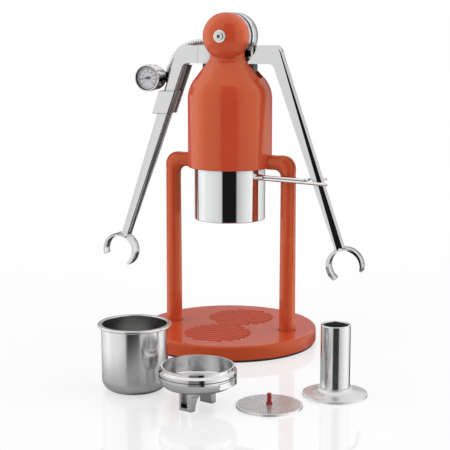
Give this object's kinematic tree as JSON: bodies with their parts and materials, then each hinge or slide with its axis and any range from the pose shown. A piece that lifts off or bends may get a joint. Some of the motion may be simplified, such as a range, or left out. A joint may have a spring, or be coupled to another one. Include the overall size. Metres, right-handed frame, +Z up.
{
  "type": "lever espresso machine",
  "caption": "Manual espresso press: domed body on two legs over a round base, two chrome swing arms with open claws, gauge and hose, and a loose basket, portafilter, screen and tamper.",
  "frame": {"origin": "centre of the round base where its rubber pad rests on the worktop", "axes": "+Z up, -Y towards the front where the accessories stand, +X to the right"},
  "size_m": [0.3265, 0.3432, 0.3391],
  "materials": {
    "orange_enamel": "gloss powder coat",
    "polished_chrome": "mirror polish",
    "satin_chrome": "satin",
    "bright_steel": "fine satin",
    "machined_steel": "turned",
    "zinc_screw": "bright",
    "grey_nylon": "moulded",
    "black_rubber": "matt",
    "red_silicone": "satin",
    "bronze": "turned",
    "dial_white": "printed",
    "needle_black": "matt",
    "clear_glass": "clear"
  },
  "bodies": {
    "stand": {"base_pad": "black_rubber", "base_plate": "orange_enamel", "leg_left": "orange_enamel", "leg_right": "orange_enamel", "leg_screws": "zinc_screw", "body_casting": "orange_enamel", "group_cylinder": "polished_chrome", "group_screws": "zinc_screw", "rod_bush": "bronze", "axle": "machined_steel", "axle_screw": "zinc_screw", "arm_stops": "grey_nylon", "keeper_boss": "black_rubber", "keeper_wire": "machined_steel", "banjo_washer": "machined_steel", "banjo_bolt": "machined_steel"},
    "left_lever": {"arm_left": "polished_chrome", "hub_bush_left": "bronze", "crank_pin_left": "machined_steel", "gauge_bracket": "polished_chrome", "block_screws": "zinc_screw", "pressure_block": "polished_chrome", "gauge_case": "polished_chrome", "gauge_bezel": "polished_chrome", "gauge_lens": "clear_glass", "gauge_dial": "dial_white", "gauge_movement": "bronze", "gauge_bourdon_tube": "bronze", "pressure_hose": "machined_steel", "hose_ferrules": "machined_steel", "hose_banjo": "machined_steel"},
    "gauge_pointer": {"gauge_needle": "needle_black"},
    "right_lever": {"arm_right": "polished_chrome", "hub_bush_right": "bronze", "crank_pin_right": "machined_steel"},
    "plunger": {"crosshead": "machined_steel", "rod_pin": "machined_steel", "piston_rod": "machined_steel", "piston": "machined_steel", "piston_seal": "black_rubber", "piston_screw": "zinc_screw"},
    "loose_basket": {"basket": "bright_steel"},
    "loose_portafilter": {"portafilter_bowl": "satin_chrome", "portafilter_spouts": "satin_chrome", "spout_screw": "machined_steel"},
    "loose_screen": {"screen_disc": "bright_steel", "screen_plug": "red_silicone"},
    "loose_tamper": {"tamper_base": "machined_steel", "tamper_handle": "bright_steel", "tamper_screw": "zinc_screw"}
  },
  "joints": [
    {"name": "left_lever_swing", "type": "hinge", "parent": "stand", "child": "left_lever", "pos_m": [0, 0, 0.3154], "axis": [0, 1, 0], "range_deg": [0, 98]},
    {"name": "right_lever_swing", "type": "hinge", "parent": "stand", "child": "right_lever", "pos_m": [0, 0, 0.3154], "axis": [0, -1, 0], "range_deg": [0, 98]},
    {"name": "plunger_stroke", "type": "slide", "parent": "stand", "child": "plunger", "axis": [0, 0, 1], "range_m": [0, 0.02996]},
    {"name": "gauge_pointer_turn", "type": "hinge", "parent": "left_lever", "child": "gauge_pointer", "pos_m": [-0.08502, 0, 0.2728], "axis": [0, 1, 0], "range_deg": [0, 270], "stiffness_Nm_per_rad": 0.0002},
    {"name": "basket_lift", "type": "slide", "parent": "stand", "child": "loose_basket", "axis": [0, 0, 1], "range_m": [0, 0.08]},
    {"name": "portafilter_lift", "type": "slide", "parent": "stand", "child": "loose_portafilter", "axis": [0, 0, 1], "range_m": [0, 0.08]},
    {"name": "screen_lift", "type": "slide", "parent": "stand", "child": "loose_screen", "axis": [0, 0, 1], "range_m": [0, 0.014]},
    {"name": "tamper_lift", "type": "slide", "parent": "stand", "child": "loose_tamper", "axis": [0, 0, 1], "range_m": [0, 0.08]}
  ],
  "couplings": [
    {"joint": "right_lever_swing", "follows": "left_lever_swing", "ratio": 1},
    {"joint": "plunger_stroke", "follows": "left_lever_swing", "m_per_rad": 0.017517}
  ]
}
